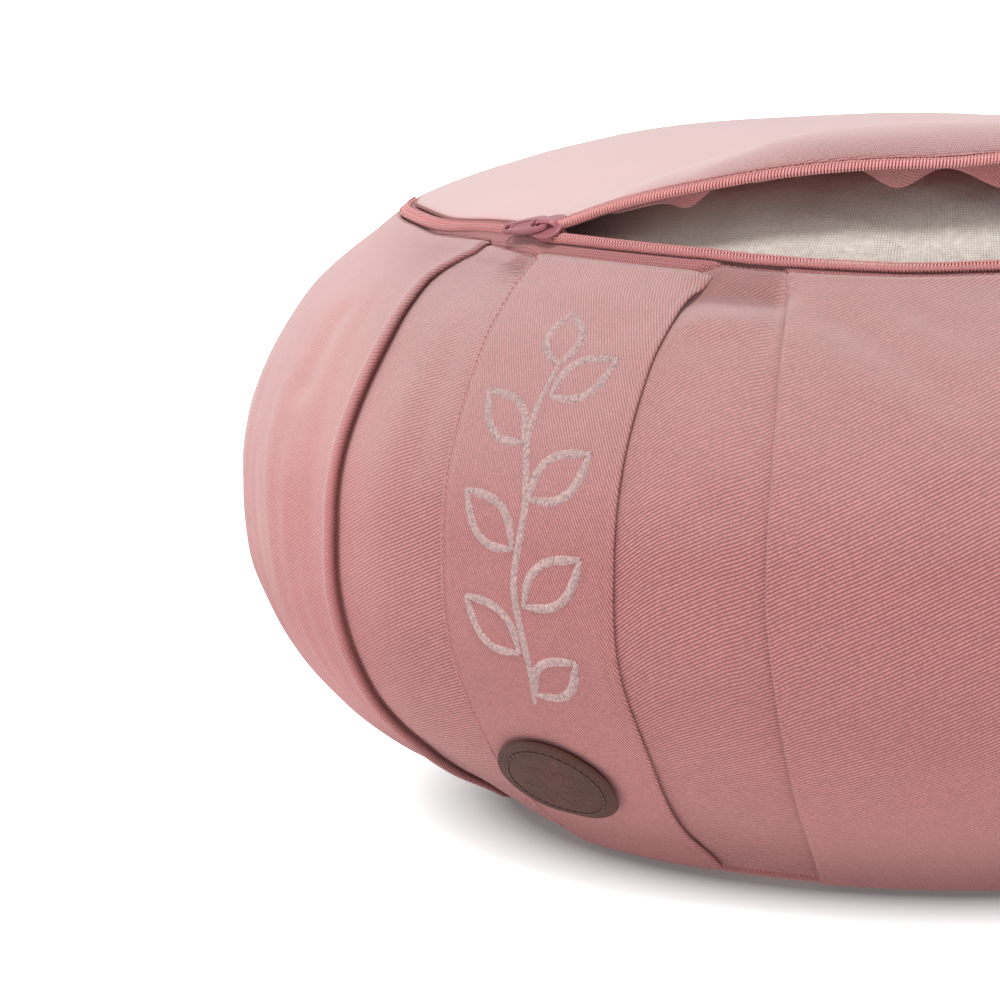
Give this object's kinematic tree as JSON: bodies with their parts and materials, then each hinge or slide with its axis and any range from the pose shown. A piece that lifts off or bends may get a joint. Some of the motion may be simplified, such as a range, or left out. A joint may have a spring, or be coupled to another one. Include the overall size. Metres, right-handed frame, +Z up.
{
  "type": "zafu meditation cushion",
  "caption": "Round pleated meditation cushion with a zip cover, open on its filled inner cushion, for sitting on the floor.",
  "frame": {"origin": "middle of the flat underside, on the surface the cushion rests on", "axes": "+Z up through the crown; -Y is the front, where the zip stands open; the band is at the front left, towards -X"},
  "size_m": [0.3608, 0.3614, 0.1847],
  "materials": {
    "cover_twill": "matt cotton twill, dusty rose",
    "casing_cotton": "plain unbleached cotton, greige",
    "zip_tape": "woven tape, rose",
    "zip_coil": "satin nylon coil, rose",
    "zip_metal": "satin rose paint",
    "patch_leather": "brown leather, burnished edge"
  },
  "bodies": {
    "root": {"inner_cushion": "casing_cotton", "side_wall": "cover_twill", "top_panel": "cover_twill", "bottom_panel": "cover_twill", "label_band": "cover_twill", "zip_tape_lower": "zip_tape", "zip_tape_upper": "zip_tape", "zip_coil_lower": "zip_coil", "zip_coil_upper": "zip_coil", "zip_slider": "zip_metal", "zip_pull": "zip_metal", "leather_patch": "patch_leather"}
  },
  "joints": []
}
